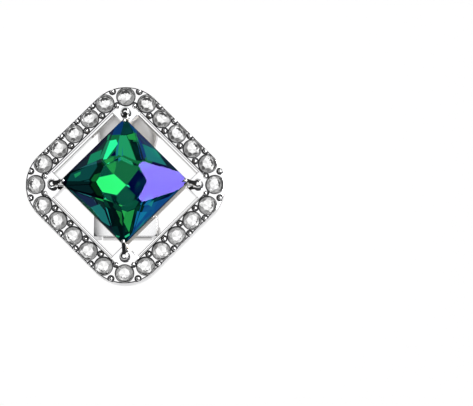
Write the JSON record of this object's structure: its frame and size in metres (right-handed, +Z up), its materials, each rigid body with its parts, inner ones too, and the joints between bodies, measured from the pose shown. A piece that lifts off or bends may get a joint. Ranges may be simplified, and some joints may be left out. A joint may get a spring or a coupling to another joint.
{
  "type": "clip-on earring",
  "caption": "Square clip-on earring: a faceted green-blue stone raised on four corner prongs inside an open halo of small crystals, with a hinged paddle clip behind.",
  "frame": {"origin": "on the surface that the earring lies on, under the middle of its bounding box", "axes": "+Z up, away from the surface and out of the earring's face; +Y towards the halo's top corner, where the clip's pad is; +X to the right as the face is seen"},
  "size_m": [0.0226, 0.0226, 0.0113],
  "materials": {
    "silver_plate": "bright silver-tone plating on cast metal",
    "clip_metal": "polished pressed metal, a little warmer than the halo",
    "green_stone": "faceted glass with a green, blue and violet coating, foiled behind",
    "clear_crystal": "faceted clear crystal, foiled behind"
  },
  "bodies": {
    "front": {"setting_frame": "silver_plate", "center_stone": "green_stone", "hinge_pin": "clip_metal", "crystal_01": "clear_crystal", "crystal_02": "clear_crystal", "crystal_03": "clear_crystal", "crystal_04": "clear_crystal", "crystal_05": "clear_crystal", "crystal_06": "clear_crystal", "crystal_07": "clear_crystal", "crystal_08": "clear_crystal", "crystal_09": "clear_crystal", "crystal_10": "clear_crystal", "crystal_11": "clear_crystal", "crystal_12": "clear_crystal", "crystal_13": "clear_crystal", "crystal_14": "clear_crystal", "crystal_15": "clear_crystal", "crystal_16": "clear_crystal", "crystal_17": "clear_crystal", "crystal_18": "clear_crystal", "crystal_19": "clear_crystal", "crystal_20": "clear_crystal", "crystal_21": "clear_crystal", "crystal_22": "clear_crystal", "crystal_23": "clear_crystal", "crystal_24": "clear_crystal"},
    "paddle": {"clip_paddle": "clip_metal"}
  },
  "joints": [
    {"name": "paddle_hinge", "type": "hinge", "parent": "front", "child": "paddle", "pos_m": [0, -0.00535, 0.0009], "axis": [-1, 0, 0], "range_deg": [0, 80], "stiffness_Nm_per_rad": 0.002, "springref_deg": -17.19}
  ]
}
